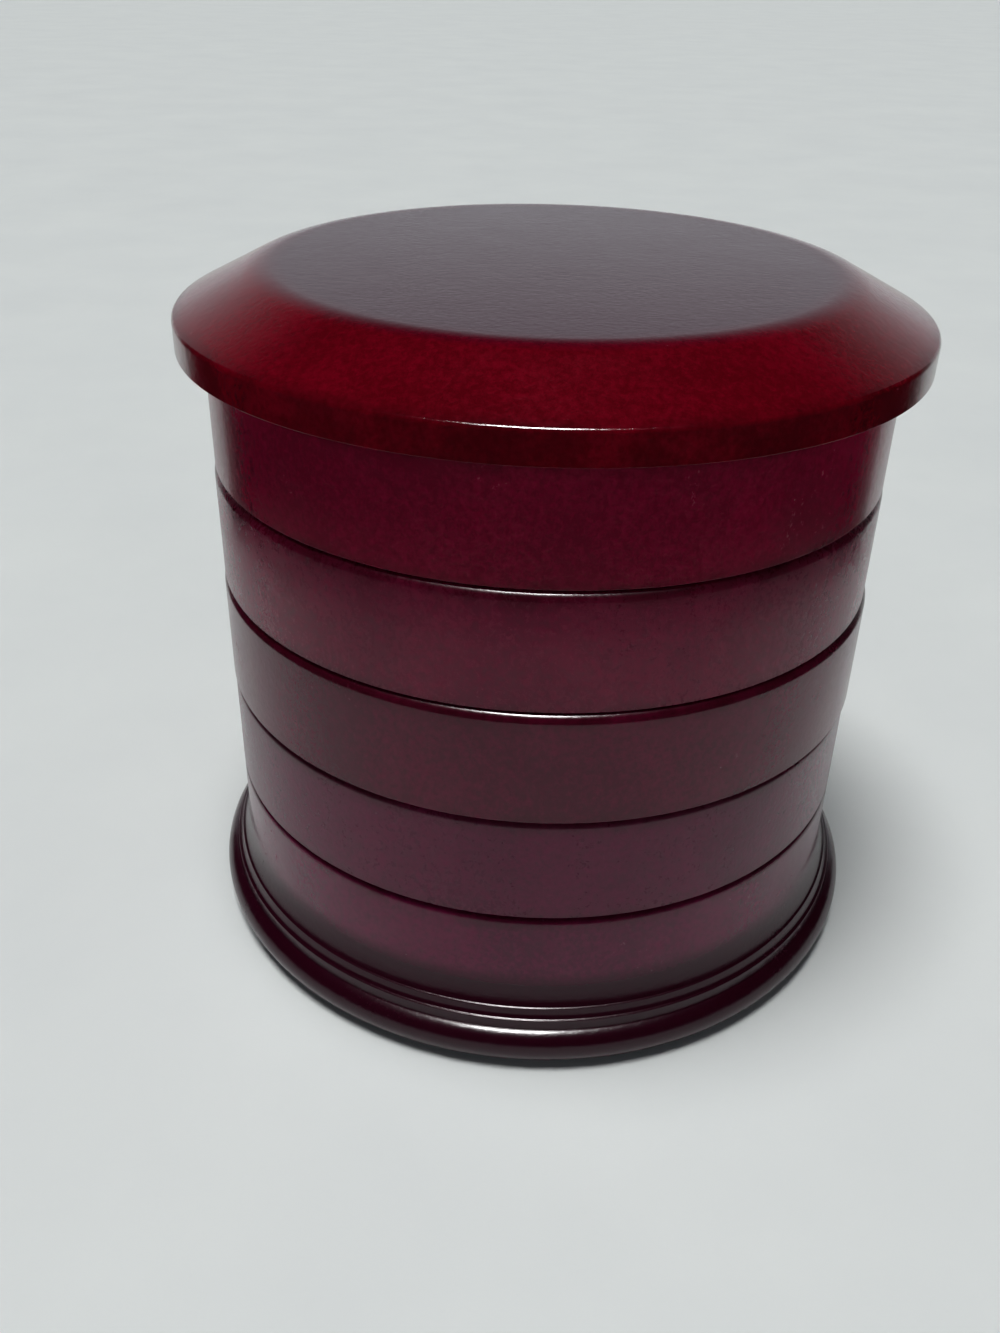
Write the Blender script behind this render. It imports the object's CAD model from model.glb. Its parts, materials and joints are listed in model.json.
"""The looks of the poker chip carousel: turned burgundy trays and lid, flocked wells, brass and steel fittings.

Every turned wooden piece is a lathe mesh with real fillets, built from the sizes of the CAD node that it
replaces. Every other CAD node stays and gets a procedural material. Metres, in the frame of the CAD.
"""

import json
import math
import random

import bmesh
import bpy
from mathutils import Matrix, Vector


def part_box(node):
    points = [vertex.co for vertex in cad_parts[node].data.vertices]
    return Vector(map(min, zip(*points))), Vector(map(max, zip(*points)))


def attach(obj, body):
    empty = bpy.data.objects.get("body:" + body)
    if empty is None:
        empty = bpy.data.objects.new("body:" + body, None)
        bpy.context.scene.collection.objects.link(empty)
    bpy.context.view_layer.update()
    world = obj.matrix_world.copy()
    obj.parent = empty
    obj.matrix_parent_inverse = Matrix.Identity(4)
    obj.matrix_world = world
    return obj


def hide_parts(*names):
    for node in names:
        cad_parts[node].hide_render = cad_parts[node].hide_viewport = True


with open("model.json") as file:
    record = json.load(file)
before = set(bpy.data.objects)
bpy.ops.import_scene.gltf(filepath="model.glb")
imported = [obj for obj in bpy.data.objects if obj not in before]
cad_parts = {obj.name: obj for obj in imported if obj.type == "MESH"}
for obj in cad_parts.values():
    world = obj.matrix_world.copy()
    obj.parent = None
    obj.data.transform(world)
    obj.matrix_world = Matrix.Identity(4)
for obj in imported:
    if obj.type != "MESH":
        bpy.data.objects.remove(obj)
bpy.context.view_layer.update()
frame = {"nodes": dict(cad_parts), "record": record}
nodes = frame["nodes"]
MM = 0.001
TRAYS = (1, 2, 3, 4)
# How far the wear of an edge fades along the face beside it
WEAR_REACH = 1.3 * MM


# ---- meshes ----

def arc(centre, radius, start, end, steps):
    """Points along an arc, in degrees."""
    turn = [math.radians(start + (end - start) * k / steps) for k in range(steps + 1)]
    return [(centre[0] + radius * math.cos(a), centre[1] + radius * math.sin(a)) for a in turn]


def filleted(corners, steps=6):
    """A closed outline from corners (r, z, fillet radius). Returns points (r, z, how near a fillet)."""
    points = []
    count = len(corners)
    for k, (r, z, fillet) in enumerate(corners):
        here = Vector((r, z))
        if fillet <= 0:
            points.append((r, z, 0.0))
            continue
        to_last = (Vector(corners[k - 1][:2]) - here).normalized()
        to_next = (Vector(corners[(k + 1) % count][:2]) - here).normalized()
        half = to_last.angle(to_next) / 2
        back = fillet / math.tan(half)
        centre = here + (to_last + to_next).normalized() * (fillet / math.sin(half))
        start, end = here + to_last * back - centre, here + to_next * back - centre
        swing = start.angle_signed(end)
        for n in range(steps + 1):
            spoke = start.copy()
            spoke.rotate(Matrix.Rotation(-swing * n / steps, 2))
            point = centre + spoke
            points.append((point.x, point.y, 1.0))
    return points


def densified(points, longest):
    """The outline with its long straight stretches cut up, so that wear can fade along them."""
    out = []
    for k, (r, z, near) in enumerate(points):
        out.append((r, z, near))
        r2, z2, near2 = points[(k + 1) % len(points)]
        length = math.hypot(r2 - r, z2 - z)
        cuts = int(length / longest)
        for n in range(1, cuts + 1):
            t = n / (cuts + 1)
            fade = max(near * math.exp(-t * length / WEAR_REACH), near2 * math.exp(-(1 - t) * length / WEAR_REACH))
            out.append((r + (r2 - r) * t, z + (z2 - z) * t, fade))
    return out


def lathe(name, outline, body, replaced, segments=256, ripple=None, stain=None):
    """A solid of revolution from a closed outline, riding on a body in place of a CAD node.

    ripple(angle, r, z) gives a small change of radius and height, as hand-turned work has.
    stain(r, z) says how much darker the stain is there, from 0 to 1."""
    mesh = bmesh.new()
    edge_layer = mesh.verts.layers.float.new("edge")
    stain_layer = mesh.verts.layers.float.new("stain")
    rings = []
    for r, z, near in outline:
        on_axis = r < 1e-6
        ring = []
        for k in range(1 if on_axis else segments):
            angle = 2 * math.pi * k / segments
            dr, dz = ripple(angle, r, z) if ripple and not on_axis else (0, 0)
            vert = mesh.verts.new(((r + dr) * math.cos(angle), (r + dr) * math.sin(angle), z + dz))
            vert[edge_layer] = near
            vert[stain_layer] = stain(r, z) if stain else 0.0
            ring.append(vert)
        rings.append(ring)
    for k, ring in enumerate(rings):
        other = rings[(k + 1) % len(rings)]
        if len(ring) == 1 and len(other) == 1:
            continue
        for n in range(segments):
            m = (n + 1) % segments
            if len(ring) == 1:
                mesh.faces.new((ring[0], other[m], other[n]))
            elif len(other) == 1:
                mesh.faces.new((ring[n], ring[m], other[0]))
            else:
                mesh.faces.new((ring[n], ring[m], other[m], other[n]))
    bmesh.ops.recalc_face_normals(mesh, faces=mesh.faces)
    data = bpy.data.meshes.new(name)
    mesh.to_mesh(data)
    mesh.free()
    data.shade_smooth()
    piece = bpy.data.objects.new(name, data)
    bpy.context.scene.collection.objects.link(piece)
    weighted = piece.modifiers.new("face_weighted_normals", "WEIGHTED_NORMAL")
    weighted.weight = 80
    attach(piece, body)
    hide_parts(replaced)
    return piece


# ---- materials ----

class Nodes:
    """A short way to write a shader tree."""

    def __init__(self, name):
        self.material = bpy.data.materials.new(name)
        self.material.use_nodes = True
        self.tree = self.material.node_tree
        self.shader = self.tree.nodes["Principled BSDF"]
        self.place = self.add("ShaderNodeTexCoord").outputs["Object"]

    def add(self, kind, **values):
        node = self.tree.nodes.new(kind)
        for key, value in values.items():
            setattr(node, key, value)
        return node

    def link(self, output, socket):
        self.tree.links.new(output, socket)

    def stretched(self, scale):
        mapping = self.add("ShaderNodeMapping")
        mapping.inputs["Scale"].default_value = scale
        self.link(self.place, mapping.inputs["Vector"])
        return mapping.outputs["Vector"]

    def noise(self, scale, detail=3, roughness=0.55, vector=None, distortion=0.0):
        node = self.add("ShaderNodeTexNoise")
        node.inputs["Scale"].default_value = scale
        node.inputs["Detail"].default_value = detail
        node.inputs["Roughness"].default_value = roughness
        node.inputs["Distortion"].default_value = distortion
        self.link(vector or self.place, node.inputs["Vector"])
        return node.outputs["Fac"]

    def cells(self, scale, vector=None):
        node = self.add("ShaderNodeTexVoronoi")
        node.inputs["Scale"].default_value = scale
        self.link(vector or self.place, node.inputs["Vector"])
        return node.outputs

    def red(self, colour):
        node = self.add("ShaderNodeSeparateColor")
        self.link(colour, node.inputs["Color"])
        return node.outputs["Red"]

    def attribute(self, name):
        return self.add("ShaderNodeAttribute", attribute_name=name).outputs["Fac"]

    def ramp(self, value, *stops):
        node = self.add("ShaderNodeValToRGB")
        stops_in = node.color_ramp.elements
        while len(stops_in) < len(stops):
            stops_in.new(0.5)
        for element, (position, colour) in zip(stops_in, stops):
            element.position = position
            element.color = (*colour, 1) if len(colour) == 3 else colour
        self.link(value, node.inputs["Fac"])
        return node.outputs["Color"]

    def remap(self, value, low, high, to_low, to_high):
        node = self.add("ShaderNodeMapRange")
        for key, number in zip(("From Min", "From Max", "To Min", "To Max"), (low, high, to_low, to_high)):
            node.inputs[key].default_value = number
        self.link(value, node.inputs["Value"])
        return node.outputs["Result"]

    def math(self, operation, first, second):
        node = self.add("ShaderNodeMath", operation=operation)
        for socket, value in zip(node.inputs, (first, second)):
            if isinstance(value, (int, float)):
                socket.default_value = value
            else:
                self.link(value, socket)
        return node.outputs["Value"]

    def mix(self, factor, first, second):
        node = self.add("ShaderNodeMix", data_type="RGBA")
        sockets = [node.inputs[key] for key in ("Factor", "A", "B")]
        for socket, value in zip(sockets, (factor, first, second)):
            if isinstance(value, (int, float)):
                socket.default_value = value
            elif isinstance(value, tuple):
                socket.default_value = (*value, 1)
            else:
                self.link(value, socket)
        return node.outputs["Result"]

    def bump(self, height, distance, strength=1.0, after=None):
        node = self.add("ShaderNodeBump")
        node.inputs["Distance"].default_value = distance
        node.inputs["Strength"].default_value = strength
        self.link(height, node.inputs["Height"])
        if after is not None:
            self.link(after, node.inputs["Normal"])
        return node.outputs["Normal"]

    def finish(self, colour=None, roughness=None, normal=None, coat_normal=None, **constants):
        for output, key in ((colour, "Base Color"), (roughness, "Roughness"), (normal, "Normal"),
                            (coat_normal, "Coat Normal")):
            if output is not None:
                self.link(output, self.shader.inputs[key])
        for key, value in constants.items():
            self.shader.inputs[key.replace("_", " ")].default_value = value
        return self.material


def lacquer(name, deep, bright, stain, roughness, seed):
    """Burgundy stain under satin lacquer: cloudy colour, fine fibres, orange peel, rubbed edges, dust."""
    n = Nodes(name)
    shifted = n.add("ShaderNodeMapping")
    shifted.inputs["Location"].default_value = (seed * 0.37, seed * 0.11, seed * 0.23)
    n.link(n.place, shifted.inputs["Vector"])
    where = shifted.outputs["Vector"]
    cloud = n.noise(22, detail=4, roughness=0.6, vector=where, distortion=0.4)
    fibre = n.noise(1, detail=5, roughness=0.72, vector=n.stretched((640, 640, 560)), distortion=0.3)
    colour = n.ramp(n.math("ADD", n.math("MULTIPLY", cloud, 0.4), n.math("MULTIPLY", fibre, 0.6)),
                    (0.42, deep), (0.58, bright))
    wear = n.math("MULTIPLY", n.attribute("edge"), n.remap(n.noise(90, vector=where), 0.35, 0.62, 0.1, 0.5))
    colour = n.mix(wear, colour, BURNISHED)
    colour = n.mix(n.attribute("stain"), colour, stain)
    speck = n.cells(260, vector=where)
    dust = n.math("LESS_THAN", speck["Distance"], 0.045)
    rare = n.math("GREATER_THAN", n.red(speck["Color"]), 0.95)
    dusty = n.math("MULTIPLY", n.math("MULTIPLY", dust, rare), 0.4)
    colour = n.mix(dusty, colour, (0.40, 0.30, 0.32))
    smear = n.noise(34, detail=4, roughness=0.6, vector=where, distortion=0.5)
    rough = n.remap(smear, 0.3, 0.7, roughness - 0.02, roughness + 0.04)
    rough = n.math("ADD", rough, n.remap(fibre, 0.35, 0.65, -0.02, 0.03))
    peel = n.noise(900, detail=3, roughness=0.6, vector=where)
    wave = n.noise(75, detail=2, vector=where)
    normal = n.bump(wave, 0.00012, 0.3, after=n.bump(peel, 0.00004, 0.6, after=n.bump(fibre, 0.00010, 0.7)))
    return n.finish(colour, rough, normal, coat_normal=n.bump(peel, 0.00003, 0.6),
                    Specular_IOR_Level=0.38, Coat_Weight=0.25, Coat_Roughness=0.11, Coat_IOR=1.5)


def stained(name, deep, bright):
    """Dark red stain on open-grained wood, without lacquer."""
    n = Nodes(name)
    where = n.stretched((1, 9, 9))
    grain = n.noise(160, detail=6, roughness=0.7, vector=where, distortion=0.6)
    colour = n.ramp(grain, (0.35, deep), (0.7, bright))
    rough = n.remap(grain, 0.3, 0.7, 0.5, 0.68)
    return n.finish(colour, rough, n.bump(grain, 0.00008, 0.6), Specular_IOR_Level=0.35)


def flocked(name, deep, bright, tuft, sheen):
    """Short dense fibres: a matt pile with soft blotches where it has been brushed over."""
    n = Nodes(name)
    brushed = n.noise(30, detail=3, distortion=0.8)
    pile = n.noise(tuft, detail=4, roughness=0.75)
    colour = n.ramp(n.math("ADD", n.math("MULTIPLY", brushed, 0.45), n.math("MULTIPLY", pile, 0.55)),
                    (0.38, deep), (0.64, bright))
    lint = n.cells(420)
    is_lint = n.math("MULTIPLY", n.math("LESS_THAN", lint["Distance"], 0.05),
                     n.math("GREATER_THAN", n.red(lint["Color"]), 0.9))
    colour = n.mix(is_lint, colour, (0.22, 0.21, 0.2))
    normal = n.bump(pile, 0.00022, 0.9, after=n.bump(brushed, 0.0004, 0.3))
    return n.finish(colour, n.remap(pile, 0.3, 0.7, 0.85, 1.0), normal,
                    Specular_IOR_Level=0.15, Sheen_Weight=sheen, Sheen_Roughness=0.45)


def metal(name, colour, dull, roughness, stretch, scale):
    """Worked metal: fine tool marks along one direction, with a few duller patches."""
    n = Nodes(name)
    marks = n.noise(scale, detail=5, roughness=0.7, vector=n.stretched(stretch))
    patches = n.noise(60, detail=4, roughness=0.65, distortion=0.5)
    tone = n.mix(n.remap(patches, 0.42, 0.68, 0.0, 0.75), colour, dull)
    tone = n.mix(n.remap(marks, 0.3, 0.7, 0.0, 0.25), tone, dull)
    rough = n.math("ADD", n.remap(marks, 0.3, 0.7, roughness - 0.06, roughness + 0.08),
                   n.remap(patches, 0.4, 0.7, 0.0, 0.12))
    return n.finish(tone, rough, n.bump(marks, 0.00002, 0.5), Metallic=1.0)


def moulded(name, deep, bright, roughness, scale):
    """Moulded nylon or rubber with a fine matt skin."""
    n = Nodes(name)
    skin = n.noise(scale, detail=3, roughness=0.6)
    cloud = n.noise(70, detail=3)
    colour = n.ramp(cloud, (0.35, deep), (0.68, bright))
    return n.finish(colour, n.remap(skin, 0.3, 0.7, roughness - 0.06, roughness + 0.06),
                    n.bump(skin, 0.00006, 0.5), Specular_IOR_Level=0.4)


BURNISHED = (0.030, 0.0006, 0.0030)
PLUM = (0.050, 0.0010, 0.0200)
PURPLE_BLACK = (0.028, 0.0004, 0.0085)
# Deep, bright and stained-over colour, and roughness. The tones were matched to one view of the object, and the
# violet of the lid's flat top is a guess: there it was seen only under a grey reflection
TONES = {
    "lid": ((0.112, 0.0001, 0.0070), (0.174, 0.0002, 0.0120), PLUM, 0.13),
    1: ((0.138, 0.0002, 0.0200), (0.212, 0.0003, 0.0300), PURPLE_BLACK, 0.22),
    2: ((0.112, 0.0010, 0.0240), (0.176, 0.0014, 0.0340), PURPLE_BLACK, 0.26),
    3: ((0.074, 0.0004, 0.0160), (0.116, 0.0006, 0.0250), PURPLE_BLACK, 0.22),
    4: ((0.078, 0.0018, 0.0250), (0.124, 0.0024, 0.0370), PURPLE_BLACK, 0.28),
    "base": ((0.080, 0.0018, 0.0270), (0.128, 0.0024, 0.0390), PURPLE_BLACK, 0.22),
}
finish_of = {key: lacquer(f"burgundy_lacquer_{key}", *tones, seed)
             for seed, (key, tones) in enumerate(TONES.items())}
dark_stain = stained("dark_stain", (0.020, 0.0022, 0.0035), (0.058, 0.0075, 0.0100))
flock = flocked("black_flock", (0.0045, 0.0045, 0.0055), (0.016, 0.016, 0.019), 900, 0.35)
felt = flocked("black_felt", (0.004, 0.004, 0.005), (0.014, 0.014, 0.016), 1500, 0.2)
brass = metal("turned_brass", (0.72, 0.50, 0.20), (0.38, 0.24, 0.09), 0.30, (1, 1, 14), 300)
zinc = metal("zinc_plated_steel", (0.56, 0.57, 0.60), (0.36, 0.37, 0.38), 0.38, (10, 1, 1), 240)
bright_steel = metal("polished_steel", (0.66, 0.67, 0.69), (0.48, 0.48, 0.49), 0.20, (1, 1, 20), 400)
nylon = moulded("natural_nylon", (0.60, 0.58, 0.51), (0.74, 0.72, 0.66), 0.45, 500)
rubber = moulded("black_rubber", (0.012, 0.012, 0.013), (0.024, 0.024, 0.026), 0.72, 700)

SLOT_MATERIAL = {"stained_wood": dark_stain, "felt": felt, "flock": flock, "brass": brass, "steel": zinc,
                 "polished_steel": bright_steel, "cage_plastic": nylon, "rubber": rubber}


def dress(obj, material):
    obj.data.materials.clear()
    obj.data.materials.append(material)


for part in frame["record"]["subparts"]:
    if part["material_slot"] in SLOT_MATERIAL:
        dress(nodes[part["node"]], SLOT_MATERIAL[part["material_slot"]])


# ---- the turned pieces ----

def hand_turned(seed, grown=0.0, shift=(0.0, 0.0), radius_wave=0.05 * MM, height_wave=0.05 * MM):
    """The small errors of a loose, hand-turned ring: its radius, its place, and slow waves of its rims."""
    chance = random.Random(seed)
    phases = [chance.uniform(0, 2 * math.pi) for _ in range(4)]

    def ripple(angle, r, z):
        dr = grown + shift[0] * math.cos(angle) + shift[1] * math.sin(angle)
        dr += radius_wave * (0.6 * math.sin(2 * angle + phases[0]) + 0.4 * math.sin(5 * angle + phases[1]))
        dz = height_wave * (0.7 * math.sin(angle + phases[2]) + 0.3 * math.sin(3 * angle + phases[3]))
        return dr, dz
    return ripple


FLOOR_LIP = 2.5 * MM
FLOOR_THICK = 3 * MM
SAG = 0.35 * MM
RIM_TOP_R = 2.3 * MM
INNER_RIM_R = 0.8 * MM
CRISP_R = 0.3 * MM
# How each ring sits against the next: how much it is grown, and how far it is shifted to +X and +Y
LOOSE = {1: (-0.35 * MM, (0.0, 0.35 * MM)), 2: (-0.15 * MM, (-0.05 * MM, 0.0)),
         3: (0.1 * MM, (0.2 * MM, -0.65 * MM)), 4: (-0.1 * MM, (0.0, 0.0)),
         "base": (-0.1 * MM, (0.0, 0.0))}


def tray_wall(i):
    low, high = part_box(f"tray_{i}_ring")
    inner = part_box("tray_1_felt")[1].x + 0.05 * MM
    outline = densified(filleted([
        (inner, low.z + FLOOR_THICK, 0.0),
        (inner + FLOOR_LIP, low.z + FLOOR_THICK, 0.0),
        (inner + FLOOR_LIP, low.z, CRISP_R),
        (high.x - 2 * SAG, low.z, 0.0),
        (high.x - SAG, low.z - SAG, 0.0),
        (high.x, low.z - SAG, CRISP_R / 2),
        (high.x, high.z, RIM_TOP_R),
        (inner, high.z, INNER_RIM_R),
    ], steps=8), 2.2 * MM)
    grown, shift = LOOSE[i]
    piece = lathe(f"tray_{i}_wall", outline, f"tray_{i}", f"tray_{i}_ring",
                  ripple=hand_turned(i, grown, shift))
    dress(piece, finish_of[i])


def base():
    low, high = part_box("base_foot")
    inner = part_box("base_felt")[1].x + 0.05 * MM
    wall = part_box("tray_4_ring")[1].x
    bead = 5.5 * MM
    bead_axis, middle = high.x - bead, low.z + bead
    cove_top, cove_out, cove_drop = 26.9 * MM, 1.5 * MM, 8.0 * MM
    cove_r = (cove_out ** 2 + cove_drop ** 2) / (2 * cove_out)
    swing = math.degrees(math.asin(cove_drop / cove_r))
    nose = 0.28 * MM
    inside = filleted([
        ((wall + inner) / 2, high.z, 0.0),
        (inner, high.z, INNER_RIM_R),
        (inner, low.z, CRISP_R),
        (bead_axis, low.z, 0.0),
    ])
    round_bead = [(r, z, 0.0) for r, z in arc((bead_axis, middle), bead, -84, 68, 38)]
    steps = filleted([
        (bead_axis + 2.0 * MM, middle + 5.0 * MM, 0.0),
        (wall + 4.3 * MM, 14.5 * MM, nose),
        (wall + 3.5 * MM, 14.6 * MM, 0.0),
        (wall + 2.7 * MM, 17.2 * MM, nose),
        (wall + 2.1 * MM, 17.3 * MM, 0.0),
        (wall + 1.5 * MM, 18.9 * MM, nose),
        (wall + 1.42 * MM, 19.1 * MM, 0.0),
    ])
    cove = [(r, z, 0.0) for r, z in arc((wall + cove_r, cove_top), cove_r, 180 + swing * 0.95, 180, 14)]
    rim = filleted([(wall, cove_top, 0.0), (wall, high.z, RIM_TOP_R), (inner, high.z, 0.0)], steps=8)
    outline = densified(inside + round_bead + steps + cove + rim[1:-1], 2.2 * MM)
    grown, shift = LOOSE["base"]
    piece = lathe("base_turning", outline, "carousel", "base_foot", segments=288,
                  ripple=hand_turned(9, grown, shift, height_wave=0.0),
                  stain=lambda r, z: min(1.0, max(0.0, (cove_top + 0.5 * MM - z) / (5 * MM))))
    dress(piece, finish_of["base"])


def lid():
    low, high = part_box("lid_top")
    flat_r, rim_h = 73.6 * MM, 7.5 * MM
    outline = densified(filleted([
        (0, low.z, 0.0),
        (high.x, low.z, 0.12 * MM),
        (high.x, low.z + rim_h, 1.3 * MM),
        (flat_r, high.z, 16.0 * MM),
        (0, high.z, 0.0),
    ], steps=10), 3 * MM)

    def wear(r, z, near):
        on_flat_top, on_rim = z > low.z + 2 * rim_h, z < low.z + rim_h and r > flat_r
        return 0.0 if on_flat_top else 1.0 if on_rim else near

    outline = [(r, z, wear(r, z, near)) for r, z, near in outline]
    piece = lathe("lid_turning", outline, "lid", "lid_top", segments=288,
                  stain=lambda r, z: min(1.0, max(0.0, (flat_r + 2 * MM - r) / (7 * MM))) if z > low.z else 1.0)
    dress(piece, finish_of["lid"])


for tray in TRAYS:
    tray_wall(tray)
base()
lid()


# ---- floor, light and camera ----

def pale_floor():
    mesh = bmesh.new()
    bmesh.ops.create_grid(mesh, x_segments=40, y_segments=40, size=12.0)
    data = bpy.data.meshes.new("floor")
    mesh.to_mesh(data)
    mesh.free()
    floor = bpy.data.objects.new("floor", data)
    bpy.context.scene.collection.objects.link(floor)
    n = Nodes("pale_table")
    mottle = n.noise(9, detail=4, roughness=0.6)
    colour = n.ramp(mottle, (0.3, (0.70, 0.74, 0.75)), (0.7, (0.735, 0.775, 0.78)))
    dress(floor, n.finish(colour, None, n.bump(n.noise(900), 0.0001, 0.3), Roughness=0.7))


def studio():
    """A pale room low down all round, dark overhead, and one broad lamp above, a little to the front left."""
    world = bpy.data.worlds.new("studio")
    bpy.context.scene.world = world
    world.use_nodes = True
    tree = world.node_tree
    place = tree.nodes.new("ShaderNodeTexCoord")
    split = tree.nodes.new("ShaderNodeSeparateXYZ")
    height = tree.nodes.new("ShaderNodeValToRGB")
    tree.links.new(place.outputs["Generated"], split.inputs["Vector"])
    tree.links.new(split.outputs["Z"], height.inputs["Fac"])
    stops = height.color_ramp.elements
    stops[0].position, stops[0].color = 0.0, (0.55, 0.59, 0.615, 1)
    stops[1].position, stops[1].color = 0.6, (0.012, 0.012, 0.013, 1)
    for sine, brightness in ((0.1, 0.50), (0.2, 0.37), (0.32, 0.29)):
        stops.new(sine).color = (brightness, brightness * 1.06, brightness * 1.1, 1)
    tree.links.new(height.outputs["Color"], tree.nodes["Background"].inputs["Color"])
    tree.nodes["Background"].inputs["Strength"].default_value = 1.0
    lamp = bpy.data.lights.new("broad_lamp", "SUN")
    lamp.angle = math.radians(24)
    lamp.energy = 2.15
    lamp.color = (1.0, 0.985, 0.965)
    holder = bpy.data.objects.new("broad_lamp", lamp)
    holder.rotation_euler = Vector((-0.10, -0.10, 1.0)).to_track_quat("Z", "Y").to_euler()
    holder.visible_glossy = False
    bpy.context.scene.collection.objects.link(holder)
    strip = bpy.data.lights.new("strip_lamp", "AREA")
    strip.shape = "RECTANGLE"
    strip.size, strip.size_y = 0.34, 0.26
    strip.energy = 22
    holder = bpy.data.objects.new("strip_lamp", strip)
    place = Vector((-0.05, -0.36, 1.25))
    holder.location = place
    holder.rotation_euler = (place - Vector((0, -0.09, 0.08))).to_track_quat("Z", "Y").to_euler()
    holder.visible_diffuse = False
    bpy.context.scene.collection.objects.link(holder)


def dark_screen():
    """A dark half-round screen in front, seen only in reflections: the upper rings mirror it."""
    radius, tall, half_turn, panels = 0.31, 0.55, 118, 48
    mesh = bmesh.new()
    rows = []
    for x, y in arc((0, 0), radius, -90 - half_turn, -90 + half_turn, panels):
        rows.append([mesh.verts.new((x, y, z)) for z in (0.0, tall)])
    for left, right in zip(rows, rows[1:]):
        mesh.faces.new((left[0], right[0], right[1], left[1]))
    data = bpy.data.meshes.new("dark_screen")
    mesh.to_mesh(data)
    mesh.free()
    screen = bpy.data.objects.new("dark_screen", data)
    bpy.context.scene.collection.objects.link(screen)
    n = Nodes("dark_cloth")
    dress(screen, n.finish(Base_Color=(0.02, 0.02, 0.022, 1), Roughness=1.0, Specular_IOR_Level=0.0))
    screen.visible_camera = screen.visible_diffuse = screen.visible_shadow = False


def camera():
    """The camera stands in front and looks down on the lid, turned and rolled a little."""
    height, distance = 252.5 * MM, 313.9 * MM
    pitch, yaw, roll = 30.95, -1.79, 2.39
    data = bpy.data.cameras.new("camera")
    data.lens = 33.06
    data.clip_start = 0.01
    holder = bpy.data.objects.new("camera", data)
    turn = (Matrix.Rotation(math.radians(90 - pitch), 4, "X") @ Matrix.Rotation(math.radians(-yaw), 4, "Y")
            @ Matrix.Rotation(math.radians(roll), 4, "Z"))
    holder.matrix_world = Matrix.Translation((0, -distance, height)) @ turn
    bpy.context.scene.collection.objects.link(holder)
    bpy.context.scene.camera = holder


pale_floor()
dark_screen()
studio()
camera()
bpy.context.scene.view_settings.view_transform = "Standard"
bpy.context.scene.view_settings.look = "Medium High Contrast"
